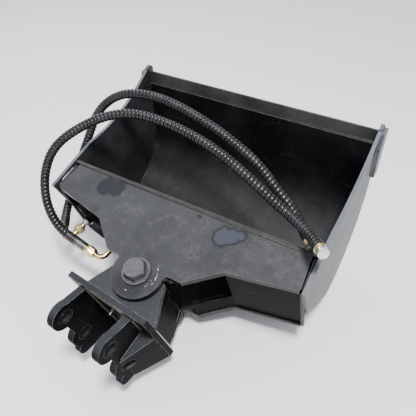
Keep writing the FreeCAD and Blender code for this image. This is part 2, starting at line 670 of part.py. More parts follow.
def hose(points, name):
    """Round tube along the route's runs and arcs."""
    edges = []
    here = points[0]
    worst = 1e9
    for k in range(1, len(points) - 1):
        p, q, r = points[k - 1], points[k], points[k + 1]
        d0, d1 = (q - p).normalize(), (r - q).normalize()
        turn = d0.getAngle(d1)
        cut = 0.45 * min((q - p).Length, (r - q).Length)
        radius = cut / math.tan(turn / 2)
        worst = min(worst, radius)
        a, b = q - d0 * cut, q + d1 * cut
        centre_dir = (d1 - d0).normalize()
        middle = q + centre_dir * (radius / math.cos(turn / 2) - radius)
        edges.append(Part.LineSegment(here, a).toShape())
        edges.append(Part.Arc(a, middle, b).toShape())
        here = b
        print(name, k, "turn", round(math.degrees(turn), 1), "radius", round(radius),
              "run", round((q - p).Length))
    edges.append(Part.LineSegment(here, points[-1]).toShape())
    length = sum(e.Length for e in edges)
    solid = swept(edges, HOSE_D / 2)
    section = math.pi * (HOSE_D / 2) ** 2
    print(name, "length", round(length, 1), "smallest radius", round(worst),
          "volume ratio", round(solid.Volume / (section * length), 4))
    return solid


ROUTE_A, ROUTE_B = route_a(), route_b()
nodes["hose_a"] = hose(ROUTE_A, "hose_a")
nodes["hose_b"] = hose(ROUTE_B, "hose_b")
for letter, route in (("a", ROUTE_A), ("b", ROUTE_B)):
    tip = route[-1]
    d = (tip - route[-2]).normalize()
    cap_start = tip + d * END_FERRULE
    nodes["end_ferrule_" + letter] = rod(HOSE_D / 2 - 1.5, tip, cap_start)
    nodes["end_cap_" + letter] = rod(HOSE_D / 2, cap_start, cap_start + d * END_CAP)
CORDS = ["hose_a", "hose_b", "end_ferrule_a", "end_cap_a", "end_ferrule_b", "end_cap_b"]

# ------------------------------------------------------------------------------------------
# Rest: the bucket leans back until its heel and the hitch's base plate touch the ground
# ------------------------------------------------------------------------------------------
heel_out = HEEL_R + SHELL_T
foot = FreeCAD.Rotation(Z_AXIS, HITCH_YAW).multVec(V(BASE_HALF, BASE_Y, BASE_BOTTOM))
dy = SWEEP_Y - foot.y
dz = HEEL_Z - foot.z
LEAN = math.asin(heel_out / math.hypot(dy, dz)) - math.atan2(dz, dy)
turn = FreeCAD.Rotation(X_AXIS, math.degrees(LEAN))
for shape in nodes.values():
    shape.Placement = FreeCAD.Placement(O, turn).multiply(shape.Placement)

box = FreeCAD.BoundBox()
for name, shape in nodes.items():
    if name not in CORDS:
        box.add(shape.BoundBox)
shift = V(-(box.XMin + box.XMax) / 2, -(box.YMin + box.YMax) / 2, -box.ZMin)
rest = FreeCAD.Placement(shift, turn)
os.makedirs("parts", exist_ok=True)
for name, shape in nodes.items():
    shape.translate(shift)
    shape.exportStep("parts/" + name + ".step")

print("lean", math.degrees(LEAN), "shift", shift, "box", box)
for label, p in (("pivot", O), ("base_pin", BASE_PIN), ("rod_pin", rod_pin_at)):
    print(label, rest.multVec(p))
print("pivot axis", turn.multVec(Z_AXIS))
print("cylinder axis", turn.multVec(FreeCAD.Rotation(Z_AXIS, CYL_DEG).multVec(X_AXIS)))
hitch_turn = FreeCAD.Placement(O, FreeCAD.Rotation(Z_AXIS, HITCH_YAW))
for label, p in (("pin_up", V(0, PIN_Y, PIN_UP)), ("pin_low", V(0, PIN_Y, PIN_LOW))):
    print(label, rest.multVec(hitch_turn.multVec(p)))
print("pin axis", turn.multVec(FreeCAD.Rotation(Z_AXIS, HITCH_YAW).multVec(X_AXIS)))
for letter, route in (("a", ROUTE_A), ("b", ROUTE_B)):
    print("route", letter, [tuple(round(c, 1) for c in rest.multVec(p)) for p in route])
print(len(nodes), "nodes")
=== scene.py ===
import json
import math

import bpy
from mathutils import Matrix, Vector, noise


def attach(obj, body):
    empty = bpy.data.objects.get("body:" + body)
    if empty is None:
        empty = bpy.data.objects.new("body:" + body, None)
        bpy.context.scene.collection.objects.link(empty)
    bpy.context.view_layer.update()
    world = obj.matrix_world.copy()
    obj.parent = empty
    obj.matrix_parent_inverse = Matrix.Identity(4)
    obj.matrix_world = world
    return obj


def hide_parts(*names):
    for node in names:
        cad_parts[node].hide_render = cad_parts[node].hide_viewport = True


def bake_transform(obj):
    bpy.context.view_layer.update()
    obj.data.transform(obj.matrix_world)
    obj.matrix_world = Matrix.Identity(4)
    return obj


# A tilting grading bucket lying on its back: black painted steel, hydraulic fittings and hoses.
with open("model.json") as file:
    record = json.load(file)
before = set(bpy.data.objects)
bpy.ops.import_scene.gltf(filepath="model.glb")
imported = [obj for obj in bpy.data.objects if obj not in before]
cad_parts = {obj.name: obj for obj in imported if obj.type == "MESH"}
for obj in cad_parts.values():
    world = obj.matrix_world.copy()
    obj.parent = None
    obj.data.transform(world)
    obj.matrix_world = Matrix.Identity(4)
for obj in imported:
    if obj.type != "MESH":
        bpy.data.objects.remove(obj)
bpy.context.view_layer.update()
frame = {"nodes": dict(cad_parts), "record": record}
scene = bpy.context.scene
MM = 0.001

# ------------------------------------------------------------------------------------------
# The same frames as the CAD: the bucket's plate frame, the hitch and the tilt cylinder, in mm
# ------------------------------------------------------------------------------------------
LEAN_DEG = 17.356083       # slope of the housing's front plate as the bucket lies
HITCH_YAW_DEG = -4.4       # how far off square the hitch stands
CYLINDER_DEG = -10.4533    # heading of the tilt cylinder in the plate frame
REST = Matrix.Translation((0, -0.20225514, 0.286938)) @ Matrix.Rotation(math.radians(LEAN_DEG), 4, "X")
HITCH = REST @ Matrix.Rotation(math.radians(HITCH_YAW_DEG), 4, "Z")
CYLINDER = (REST @ Matrix.Translation((-0.358, 0.152, -0.126))
            @ Matrix.Rotation(math.radians(CYLINDER_DEG), 4, "Z"))


def at(place, x, y, z):
    """World point of a point given in mm in one of the frames."""
    return place @ (Vector((x, y, z)) * MM)


def heading(place, x, y, z):
    """World direction of a direction given in one of the frames."""
    return (place.to_3x3() @ Vector((x, y, z))).normalized()


# ------------------------------------------------------------------------------------------
# Camera
# ------------------------------------------------------------------------------------------
camera = bpy.data.objects.new("camera", bpy.data.cameras.new("camera"))
scene.collection.objects.link(camera)
camera.data.lens = 38.71
camera.data.sensor_width = 36.0
camera_right = Vector((0.85361, 0.52044, -0.02201))
camera_down = Vector((0.33187, -0.57592, -0.74711))
camera_forward = Vector((-0.40150, 0.63044, -0.66433))
camera_turn = Matrix((camera_right, -camera_down, -camera_forward)).transposed()
camera.matrix_world = Matrix.Translation((0.550575, -0.725423, 1.150782)) @ camera_turn.to_4x4()
scene.camera = camera


# ------------------------------------------------------------------------------------------
# Node material helpers
# ------------------------------------------------------------------------------------------
class Shader:
    """A material under construction, with short calls for the nodes it uses."""

    def __init__(self, name):
        self.material = bpy.data.materials.new(name)
        self.material.use_nodes = True
        self.tree = self.material.node_tree
        self.tree.nodes.clear()
        self.out = self.tree.nodes.new("ShaderNodeOutputMaterial")
        self.bsdf = self.tree.nodes.new("ShaderNodeBsdfPrincipled")
        self.tree.links.new(self.bsdf.outputs["BSDF"], self.out.inputs["Surface"])
        self.coord = self.tree.nodes.new("ShaderNodeTexCoord").outputs["Object"]

    def put(self, socket, value):
        """Feed a socket with another node's output or with a constant."""
        if isinstance(value, bpy.types.NodeSocket):
            self.tree.links.new(value, socket)
        else:
            socket.default_value = value

    def set(self, name, value):
        """Feed one of the surface's own sockets."""
        self.put(self.bsdf.inputs[name], value)

    def noise(self, scale, detail=4.0, rough=0.55, stretch=None, distortion=0.0):
        node = self.tree.nodes.new("ShaderNodeTexNoise")
        node.inputs["Scale"].default_value = scale
        node.inputs["Detail"].default_value = detail
        node.inputs["Roughness"].default_value = rough
        node.inputs["Distortion"].default_value = distortion
        self.put(node.inputs["Vector"], self.stretched(stretch) if stretch else self.coord)
        return node.outputs["Fac"]

    def stretched(self, stretch):
        """The coordinates scaled unevenly, for streaks along one axis."""
        node = self.tree.nodes.new("ShaderNodeMapping")
        node.inputs["Scale"].default_value = stretch
        self.put(node.inputs["Vector"], self.coord)
        return node.outputs["Vector"]

    def math(self, op, a, b=0.0, clamp=False):
        node = self.tree.nodes.new("ShaderNodeMath")
        node.operation = op
        node.use_clamp = clamp
        self.put(node.inputs[0], a)
        self.put(node.inputs[1], b)
        return node.outputs[0]

    def ramp(self, value, low, high, out_low=0.0, out_high=1.0):
        """Smooth step from out_low where the value is low to out_high where it is high."""
        node = self.tree.nodes.new("ShaderNodeMapRange")
        node.interpolation_type = "SMOOTHSTEP"
        self.put(node.inputs["Value"], value)
        for name, v in (("From Min", low), ("From Max", high), ("To Min", out_low), ("To Max", out_high)):
            node.inputs[name].default_value = v
        return node.outputs["Result"]

    def mix(self, factor, a, b):
        """Colour a where the factor is 0 and colour b where it is 1."""
        node = self.tree.nodes.new("ShaderNodeMix")
        node.data_type = "RGBA"
        self.put(node.inputs[0], factor)
        for socket, value in ((node.inputs[6], a), (node.inputs[7], b)):
            self.put(socket, value if isinstance(value, bpy.types.NodeSocket) else (*value, 1.0))
        return node.outputs[2]

    def rounded(self, radius, samples):
        """The surface normal as if the edges were rounded."""
        bevel = self.tree.nodes.new("ShaderNodeBevel")
        bevel.samples = samples
        bevel.inputs["Radius"].default_value = radius
        return bevel.outputs["Normal"]

    def edges(self, radius):
        """1 along outside edges, where wear and painted edge glints go."""
        rounded = self.rounded(radius, 4)
        geometry = self.tree.nodes.new("ShaderNodeNewGeometry")
        dot = self.tree.nodes.new("ShaderNodeVectorMath")
        dot.operation = "DOT_PRODUCT"
        self.put(dot.inputs[0], rounded)
        self.put(dot.inputs[1], geometry.outputs["Normal"])
        return self.ramp(self.math("SUBTRACT", 1.0, dot.outputs["Value"]), 0.02, 0.35)

    def upward(self):
        """1 on faces that look up at rest, 0 on walls and undersides."""
        normal = self.tree.nodes.new("ShaderNodeTexCoord").outputs["Normal"]
        split = self.tree.nodes.new("ShaderNodeSeparateXYZ")
        self.put(split.inputs[0], normal)
        return self.ramp(split.outputs["Z"], 0.15, 0.9)

    def attribute(self, name):
        node = self.tree.nodes.new("ShaderNodeAttribute")
        node.attribute_name = name
        return node.outputs["Fac"]

    def distance(self, point):
        """Distance in metres from a point."""
        node = self.tree.nodes.new("ShaderNodeVectorMath")
        node.operation = "DISTANCE"
        self.put(node.inputs[0], self.coord)
        node.inputs[1].default_value = point
        return node.outputs["Value"]

    def blob(self, circles, ragged):
        """Distance in metres outside a ragged blob made of circles (point, radius)."""
        nearest = None
        for point, radius in circles:
            gap = self.math("SUBTRACT", self.distance(point), radius)
            nearest = gap if nearest is None else self.math("MINIMUM", nearest, gap)
        wobble = self.math("MULTIPLY", self.math("SUBTRACT", self.noise(32.0, 3), 0.5), ragged)
        return self.math("ADD", nearest, wobble)

    def bump(self, height, strength, distance, round_edges=0.0):
        """Relief from a height, over edges rounded by round_edges metres."""
        node = self.tree.nodes.new("ShaderNodeBump")
        node.inputs["Strength"].default_value = strength
        node.inputs["Distance"].default_value = distance
        self.put(node.inputs["Height"], height)
        if round_edges:
            self.put(node.inputs["Normal"], self.rounded(round_edges, 6))
        self.set("Normal", node.outputs["Normal"])


def scaled(colour, factor, lift=0.0):
    """Colour made lighter or darker by a factor, and lifted by a little grey."""
    return tuple(c * factor + lift for c in colour)


RUST = (0.19, 0.12, 0.065)
DARK_PATCH = (0.014, 0.015, 0.020)
FRESH = (0.050, 0.055, 0.069)
FLAKE = (0.60, 0.60, 0.59)
STEEL = (0.36, 0.35, 0.33)
DUST = (0.20, 0.20, 0.195)
GRIT = (0.42, 0.40, 0.36)
SCRATCH = (0.22, 0.22, 0.22)
GRIME = (0.06, 0.052, 0.042)
RUBBER_DUST = (0.22, 0.21, 0.19)
# Painted shade for the hose guard's grooves.
GROOVE_SHADE = (0.002, 0.002, 0.002)


def painted(name, base, rough, dust=0.5, edge_wear_and_glint=0.6, scratches=0.5, spots=(), rust=0.0, gloss_var=0.12,
            film=None, specular=0.3, flakes=()):
    """Black paint on steel plate: mottled, dusty on top, scratched, worn along its edges, where it also
    carries painted glints.

    film is the colour of an even, lighter layer on faces that look up. spots holds dark patches, most of them
    dried stains, as (circles, softness, amount, fresh paint inside). flakes holds chipped paint as
    (centre of the ring it follows, ring radius, chipped place, reach of the place).
    """
    s = Shader(name)
    s.bsdf.inputs["Specular IOR Level"].default_value = specular
    cloudy = s.noise(7.0, 6, 0.6)
    fine = s.noise(60.0, 8, 0.7)
    colour = s.mix(s.ramp(cloudy, 0.3, 0.7), scaled(base, 0.6), scaled(base, 1.6, 0.001))
    patchy = s.ramp(s.noise(16.0, 9, 0.72, distortion=0.6), 0.42, 0.78)
    dusty = s.math("MULTIPLY", patchy, s.ramp(fine, 0.3, 0.7))
    dusty = s.math("MULTIPLY", dusty, s.math("ADD", s.math("MULTIPLY", s.upward(), 0.9), 0.1))
    dusty = s.math("MULTIPLY", dusty, dust * 0.35, clamp=True)
    if film:
        even = s.math("MULTIPLY", s.upward(), s.ramp(s.noise(9.0, 7, 0.65), 0.25, 0.75, 0.62, 1.0))
        colour = s.mix(even, colour, film)
    colour = s.mix(dusty, colour, DUST)
    grit = s.ramp(s.noise(380.0, 2, 0.5), 0.66, 0.74)
    grit = s.math("MULTIPLY", grit, s.math("MULTIPLY", s.ramp(s.noise(25.0, 3), 0.35, 0.65), 0.6 * dust))
    colour = s.mix(grit, colour, GRIT)
    drag = s.noise(3.0, 1.5, 0.4, stretch=(1.0, 7.0, 4.0), distortion=0.3)
    line = s.ramp(s.math("ABSOLUTE", s.math("SUBTRACT", drag, 0.5)), 0.0, 0.0028, 1.0, 0.0)
    patch = s.ramp(s.noise(14.0, 5, 0.7), 0.5, 0.68)
    scratch = s.math("MULTIPLY", s.math("MULTIPLY", line, patch), scratches)
    colour = s.mix(scratch, colour, SCRATCH)
    for circles, soft, amount, fresh in spots:
        gap = s.blob(circles, 0.03)
        colour = s.mix(s.ramp(gap, -soft, soft, amount, 0.0), colour, DARK_PATCH)
        if fresh:
            colour = s.mix(s.ramp(gap, -0.011, -0.004, 0.85, 0.0), colour, FRESH)
    for ring, radius, place, reach in flakes:
        off_ring = s.math("ABSOLUTE", s.math("SUBTRACT", s.distance(ring), radius))
        arc = s.ramp(off_ring, 0.0004, 0.0012, 1.0, 0.0)
        chips = s.ramp(s.noise(130.0, 3, 0.7), 0.5, 0.56)
        chips = s.math("MULTIPLY", chips, s.ramp(s.distance(place), reach * 0.6, reach, 1.0, 0.0))
        colour = s.mix(s.math("MULTIPLY", arc, chips), colour, FLAKE)
    if rust:
        rusty = s.math("MULTIPLY", s.ramp(s.noise(34.0, 8, 0.7), 0.56, 0.7), rust)
        colour = s.mix(rusty, colour, RUST)
    # Bare steel along the edges: wear, and painted glints where the amount is high.
    worn_and_glint = s.math("MULTIPLY", s.edges(0.0022), s.ramp(s.noise(45.0, 6, 0.7), 0.36, 0.62))
    worn_and_glint = s.math("MULTIPLY", worn_and_glint, edge_wear_and_glint)
    s.set("Base Color", s.mix(worn_and_glint, colour, STEEL))
    gloss = s.ramp(cloudy, 0.25, 0.75, rough - gloss_var * 0.5, rough + gloss_var * 0.5)
    s.set("Roughness", s.math("ADD", gloss, s.math("MULTIPLY", dusty, 0.9), clamp=True))
    grain = s.math("MULTIPLY", s.noise(900.0, 2), 0.25)
    height = s.math("ADD", grain, s.math("MULTIPLY", s.noise(90.0, 4), 0.75))
    s.bump(height, 0.12, 0.0006, 0.0012)
    return s.material


def metal(name, base, rough, tint=None, dirt=0.4, bump=0.15):
    """Plated or machined metal with patchy dirt and uneven polish."""
    s = Shader(name)
    cloudy = s.noise(55.0, 6, 0.65)
    colour = s.mix(s.ramp(cloudy, 0.35, 0.7), base, tint or scaled(base, 0.75))
    grime = s.math("MULTIPLY", s.ramp(s.noise(120.0, 8, 0.75), 0.5, 0.72), dirt)
    s.set("Base Color", s.mix(grime, colour, GRIME))
    s.set("Metallic", s.math("SUBTRACT", 1.0, s.math("MULTIPLY", grime, 0.9), clamp=True))
    polish = s.ramp(cloudy, 0.3, 0.7, rough - 0.06, rough + 0.08)
    s.set("Roughness", s.math("ADD", polish, s.math("MULTIPLY", grime, 0.5), clamp=True))
    s.bump(s.noise(300.0, 4, 0.6), bump, 0.0004, 0.0006)
    return s.material


def rubber(name, base, rough, grey=0.35):
    """Rubber, dusty on top, dull in its grooves and darkened there with painted shade."""
    s = Shader(name)
    cloudy = s.noise(26.0, 6, 0.6)
    colour = s.mix(s.ramp(cloudy, 0.35, 0.75), base, scaled(base, 1.8, 0.01))
    dusty = s.math("MULTIPLY", s.ramp(s.noise(70.0, 8, 0.75), 0.5, 0.75), grey)
    dusty = s.math("MULTIPLY", dusty, s.math("ADD", s.math("MULTIPLY", s.upward(), 0.6), 0.25))
    groove = s.attribute("groove")
    s.set("Base Color", s.mix(groove, s.mix(dusty, colour, RUBBER_DUST), GROOVE_SHADE))
    gloss = s.ramp(cloudy, 0.3, 0.7, rough - 0.05, rough + 0.08)
    gloss = s.math("ADD", gloss, s.math("MULTIPLY", dusty, 0.6))
    s.set("Roughness", s.math("ADD", gloss, s.math("MULTIPLY", groove, 0.5), clamp=True))
    s.set("Specular IOR Level", s.math("SUBTRACT", 0.5, s.math("MULTIPLY", groove, 0.5), clamp=True))
    s.bump(s.noise(500.0, 4, 0.6), 0.12, 0.0003)
    return s.material


def on_plate(x, y, radius_mm):
    """Circle on the housing's front plate: centre and radius in metres."""
    return at(REST, x, y, 0), radius_mm * MM


PIVOT = at(REST, 0, 0, 0)
housing_spots = [
    # The first patch darkens the plate softly around the pivot; the others are dried stains.
    ([on_plate(0, -30, 44)], 0.030, 0.5, False),
    ([on_plate(-240, 190, 30), on_plate(-206, 193, 26)], 0.004, 0.75, False),
    ([on_plate(-226, 108, 16)], 0.012, 0.5, False),
    ([on_plate(62, 208, 7)], 0.003, 0.8, False),
    ([on_plate(152, 180, 30), on_plate(170, 188, 27), on_plate(192, 200, 19)], 0.004, 0.7, True),
]
housing_flakes = [
    (PIVOT, 0.0545, at(REST, 54, 10, 0), 0.030),
    (PIVOT, 0.0470, at(REST, 44, -14, 0), 0.022),
    (PIVOT, 0.0520, at(REST, 8, -52, 0), 0.014),
]
BLACK = (0.0035, 0.0038, 0.0046)
# Pale bluish layer on the top edges of the side plates and strips: painted sky sheen.
SKY_SHEEN_FILM = (0.12, 0.13, 0.16)
HITCH_FILM = (0.036, 0.039, 0.044)
paint = {
    "black_paint": painted("black_paint", BLACK, 0.36, dust=0.3, edge_wear_and_glint=0.4, specular=0.01),
    "side_paint": painted("side_paint", (0.020, 0.021, 0.023), 0.42, scratches=0.3, gloss_var=0.10,
                          film=SKY_SHEEN_FILM),
    # The side strips get a lighter, bluish copy of the side paint: painted sheen.
    "strip_sheen_paint": painted("strip_sheen_paint", (0.07, 0.074, 0.084), 0.42, edge_wear_and_glint=0.7, film=SKY_SHEEN_FILM),
    "shell_paint": painted("shell_paint", (0.0050, 0.0054, 0.0062), 0.30, dust=0.4, edge_wear_and_glint=0.5, scratches=0.35,
                           film=(0.046, 0.047, 0.049), specular=0.12),
    "housing_paint": painted("housing_paint", BLACK, 0.36, dust=0.7, scratches=0.3, spots=housing_spots,
                             flakes=housing_flakes, specular=0.12, film=(0.052, 0.0535, 0.058)),
    # The hitch's edges carry much bare steel: wear, and painted glints along its lit edges.
    "hitch_paint": painted("hitch_paint", BLACK, 0.36, dust=0.45, edge_wear_and_glint=0.9, rust=0.06, scratches=0.25,
                           film=HITCH_FILM, specular=0.012),
    "plain_paint": painted("plain_paint", (0.0045, 0.0048, 0.0056), 0.36, dust=0.3, edge_wear_and_glint=0.12, scratches=0.2,
                           film=(0.030, 0.032, 0.036), specular=0.012),
    # The hitch's top plate is painted much lighter than the rest of the hitch: painted sunlight over its
    # dust.
    "sunlit_dusty_plate": painted("sunlit_dusty_plate", (0.045, 0.047, 0.051), 0.40, edge_wear_and_glint=0.9, scratches=0.25,
                           film=HITCH_FILM, specular=0.10),
    "edge_steel": painted("edge_steel", (0.030, 0.0305, 0.031), 0.46, dust=0.8, scratches=0.6,
                          film=(0.055, 0.056, 0.057)),
    "gland_paint": painted("gland_paint", (0.008, 0.008, 0.009), 0.28, dust=0.2),
    "bolt_steel": metal("bolt_steel", (0.17, 0.17, 0.175), 0.44, tint=(0.10, 0.10, 0.105), dirt=0.55,
                        bump=0.5),
    "chrome_rod": metal("chrome_rod", (0.62, 0.63, 0.65), 0.10, dirt=0.08, bump=0.03),
    "bronze": metal("bronze", (0.42, 0.28, 0.13), 0.35),
    "seal_rubber": rubber("seal_rubber", (0.012, 0.012, 0.012), 0.5),
    "zinc_fitting": metal("zinc_fitting", (0.50, 0.49, 0.47), 0.32, tint=(0.36, 0.35, 0.32)),
    "brass_fitting": metal("brass_fitting", (0.72, 0.56, 0.27), 0.22, tint=(0.55, 0.40, 0.16), dirt=0.3),
    "crimped_steel": metal("crimped_steel", (0.24, 0.235, 0.225), 0.34, tint=(0.15, 0.145, 0.135), dirt=0.5),
    "hose_rubber": rubber("hose_rubber", (0.006, 0.006, 0.007), 0.28, grey=0.3),
    "cap_metal": metal("cap_metal", (0.86, 0.86, 0.85), 0.34, dirt=0.08),
    "weld_black": painted("weld_black", (0.011, 0.011, 0.012), 0.32, edge_wear_and_glint=0.0, rust=0.12),
    # Bright weld finish: a painted highlight on the plate end and cheek welds.
    "weld_highlight": metal("weld_highlight", (0.62, 0.62, 0.61), 0.36, dirt=0.45, bump=0.4),
    "weld_brown": painted("weld_brown", (0.026, 0.023, 0.020), 0.42, edge_wear_and_glint=0.0, rust=0.35),
    "weld_rusty": painted("weld_rusty", (0.055, 0.043, 0.032), 0.5, dust=0.8, edge_wear_and_glint=0.0, rust=0.7),
}
OWN_FINISH = {
    "shell": "shell_paint",
    "side_plate_right": "side_paint",
    "side_plate_left": "side_paint",
    "side_strip_right": "strip_sheen_paint",
    "side_strip_left": "strip_sheen_paint",
    "hitch_top_plate": "sunlit_dusty_plate",
    "pin_bushes_upper": "plain_paint",
    "pin_bushes_lower": "plain_paint",
}
for row in frame["record"]["subparts"]:
    finish = paint[OWN_FINISH.get(row["node"], row["material_slot"])]
    node = frame["nodes"][row["node"]]
    if not node.material_slots:
        node.data.materials.append(finish)
    for material_slot in node.material_slots:
        material_slot.material = finish


# ------------------------------------------------------------------------------------------
# Mesh helpers
# ------------------------------------------------------------------------------------------
TURNED_SIDES = 48
SHARP_DEG = 32


def add_mesh(name, verts, faces, material):
    mesh = bpy.data.meshes.new(name)
    mesh.from_pydata([tuple(v) for v in verts], [], faces)
    mesh.materials.append(paint[material])
    mesh.validate()
    mesh.shade_smooth()
    piece = bpy.data.objects.new(name, mesh)
    scene.collection.objects.link(piece)
    return piece


def tube_faces(rings, sides):
    """Faces of a tube whose points come ring by ring, with a cap on each end."""
    faces = []
    for i in range(rings - 1):
        for k in range(sides):
            a, b = i * sides + k, i * sides + (k + 1) % sides
            faces.append((a, b, b + sides, a + sides))
    faces.append(tuple(reversed(range(sides))))
    faces.append(tuple(range((rings - 1) * sides, rings * sides)))
    return faces


def length_of(line):
    return sum((b - a).length for a, b in zip(line, line[1:]))


def resampled(line, step):
    """The same line with points at even steps, and how far along each one is."""
    points, lengths = [Vector(line[0])], [0.0]
    total = length_of(line)
    count = max(2, round(total / step))
    gap = total / count
    k, walked = 0, 0.0
    for i in range(1, count):
        want = i * gap
        while walked + (line[k + 1] - line[k]).length < want:
            walked += (line[k + 1] - line[k]).length
            k += 1
        run = line[k + 1] - line[k]
        points.append(line[k] + run * ((want - walked) / run.length))
        lengths.append(want)
    return points + [Vector(line[-1])], lengths + [total]


def swept(name, line, radius_at, sides, step, material):
    """Tube along a line. radius_at(distance along, turn from 0 to 1) gives its radius."""
    points, lengths = resampled(line, step)
    last = len(points) - 1
    tangent = (points[1] - points[0]).normalized()
    across = tangent.orthogonal().normalized()
    verts = []
    for i, (p, s) in enumerate(zip(points, lengths)):
        new_tangent = (points[min(i + 1, last)] - points[max(i - 1, 0)]).normalized()
        across = (tangent.rotation_difference(new_tangent) @ across).normalized()
        tangent = new_tangent
        other = tangent.cross(across)
        for k in range(sides):
            a = 2 * math.pi * k / sides
            verts.append(p + (across * math.cos(a) + other * math.sin(a)) * radius_at(s, k / sides))
    return add_mesh(name, verts, tube_faces(len(points), sides), material)


def turned(name, start, axis, profile, material, flats=0.0):
    """Turned piece along an axis. profile holds (distance, radius) in mm; flats makes it a hexagon."""
    axis = Vector(axis).normalized()
    across = axis.orthogonal().normalized()
    other = axis.cross(across)
    verts = []
    for distance, radius in profile:
        for k in range(TURNED_SIDES):
            a = 2 * math.pi * k / TURNED_SIDES
            r = radius
            if flats:
                off = (a + math.pi / 6) % (math.pi / 3) - math.pi / 6
                r = min(radius, flats / 2 / math.cos(off))
            verts.append(start + axis * distance * MM + (across * math.cos(a) + other * math.sin(a)) * r * MM)
    piece = add_mesh(name, verts, tube_faces(len(profile), TURNED_SIDES), material)
    piece.data.set_sharp_from_angle(angle=math.radians(SHARP_DEG))
    return piece


def on(body, piece, stands_for=None):
    """Fix a piece to a body, and hide the CAD node it stands for."""
    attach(piece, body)
    if stands_for:
        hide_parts(stands_for)


# ------------------------------------------------------------------------------------------
# Hoses: a spiral guard wound on each, from its crimped ferrule to its capped free end
# ------------------------------------------------------------------------------------------
ROUTE_A = [
    (-0.3922, -0.0911, 0.1860), (-0.4140, -0.0610, 0.1938), (-0.4340, -0.0170, 0.2139),
    (-0.4440, 0.0338, 0.2591), (-0.4380, 0.0758, 0.3225), (-0.4290, 0.1196, 0.3834),
    (-0.4130, 0.1541, 0.4475), (-0.3680, 0.1828, 0.4963), (-0.3020, 0.1995, 0.5235),
    (-0.2090, 0.2084, 0.5284), (-0.1170, 0.2016, 0.5200), (-0.0220, 0.1864, 0.5048),
    (0.0690, 0.1662, 0.4859), (0.1560, 0.1411, 0.4623), (0.2270, 0.1091, 0.4272),
    (0.2990, 0.0803, 0.3952), (0.3560, 0.0209, 0.3808)]
ROUTE_B = [
    (-0.2894, -0.1507, 0.2111), (-0.3240, -0.1525, 0.2250), (-0.3730, -0.1413, 0.2494),
    (-0.4130, -0.1174, 0.2904), (-0.4350, -0.0828, 0.3473), (-0.4270, -0.0395, 0.4132),
    (-0.3860, 0.0098, 0.4601), (-0.3120, 0.0776, 0.5012), (-0.2260, 0.1149, 0.5191),
    (-0.1240, 0.1265, 0.5123), (-0.0190, 0.1212, 0.4991), (0.0820, 0.1031, 0.4798),
    (0.1850, 0.0778, 0.4468), (0.2450, 0.0641, 0.4236), (0.2990, 0.0475, 0.4132),
    (0.3690, -0.0011, 0.4210), (0.3990, -0.0388, 0.4344)]
HOSE_R = 0.014
GUARD_PITCH = 0.0118
GUARD_SIDES, GUARD_STEP = 28, 0.0009
END_COLLAR = [(-5, 13.2), (-5, 14.4), (-4, 14.8), (-0.6, 14.8), (0, 14.2), (0.6, 12.4), (1.8, 12.4),
              (2.4, 13.4), (6, 13.4), (7, 12.6)]
END_CAP = [(7, 11.0), (7, 13.2), (7.8, 14.0), (17.4, 14.0), (19, 13.4), (19.8, 12.2), (20, 10.5)]
END_CAP_FLATS = 26.6


def clamped(value):
    return min(1.0, max(0.0, value))


def centreline(name, points):
    """Smooth line with the route's points as its control points."""
    curve = bpy.data.curves.new(name, "CURVE")
    curve.dimensions = "3D"
    spline = curve.splines.new("NURBS")
    spline.points.add(len(points) - 1)
    for control, place in zip(spline.points, points):
        control.co = (*place, 1.0)
    spline.order_u = 3
    spline.use_endpoint_u = True
    spline.resolution_u = 16
    holder = bpy.data.objects.new(name, curve)
    mesh = bpy.data.meshes.new_from_object(holder)
    line = [v.co.copy() for v in mesh.vertices]
    bpy.data.objects.remove(holder)
    bpy.data.meshes.remove(mesh)
    return line


def guard_turn(s, turn_share, seed):
    """How far a point of the wound guard strip is from the middle of its turn: 0 there, 1 in the groove."""
    drift = noise.noise(Vector((s * 9.0, seed, 0.0))) * 0.3
    return abs((s / GUARD_PITCH + drift - turn_share) % 1.0 - 0.5) * 2


def guard_radius(seed):
    """Radius of the wound guard strip: each turn is a rounded band, with a narrow groove between turns."""
    def radius_at(s, turn_share):
        off = guard_turn(s, turn_share, seed)
        swell = noise.noise(Vector((s * 14.0, seed + 4.0, turn_share * 1.5))) * 0.0002
        return HOSE_R - 0.0002 - 0.0015 * off ** 2.2 - 0.0010 * max(0.0, (off - 0.86) / 0.14) + swell
    return radius_at


def make_hose(letter, route, seed, cap_finish):
    """Hose with its guard, end collar and cap; returns its centreline."""
    name = "hose_" + letter
    line = centreline("line_" + letter, route)
    hose = swept(name + "_guard", line, guard_radius(seed), GUARD_SIDES, GUARD_STEP, "hose_rubber")
    groove = hose.data.attributes.new("groove", "FLOAT", "POINT")
    groove.data.foreach_set("value", [
        clamped((guard_turn(s, k / GUARD_SIDES, seed) - 0.72) / 0.16)
        for s in resampled(line, GUARD_STEP)[1] for k in range(GUARD_SIDES)])
    on("bucket", hose, stands_for=name)
    tip, axis = line[-1], (line[-1] - line[-2]).normalized()
    collar = turned(name + "_collar", tip, axis, END_COLLAR, "brass_fitting")
    cap = turned(name + "_cap", tip, axis, END_CAP, cap_finish, flats=END_CAP_FLATS)
    on("bucket", collar, stands_for="end_ferrule_" + letter)
    on("bucket", cap, stands_for="end_cap_" + letter)
    return line


# Hose A's cap takes the darker bolt steel as painted shade, since it lies in shadow; hose B's cap keeps the
# bright cap metal.
line_a = make_hose("a", ROUTE_A, 3.0, "bolt_steel")
line_b = make_hose("b", ROUTE_B, 8.0, "cap_metal")

SLEEVE_R = 0.0147
SLEEVE_RIB = 0.0055        # from rib to rib
SLEEVE_BACK = 0.013        # how far it reaches back over the ferrule
SLEEVE_REACH = 0.022       # how far it reaches along the hose


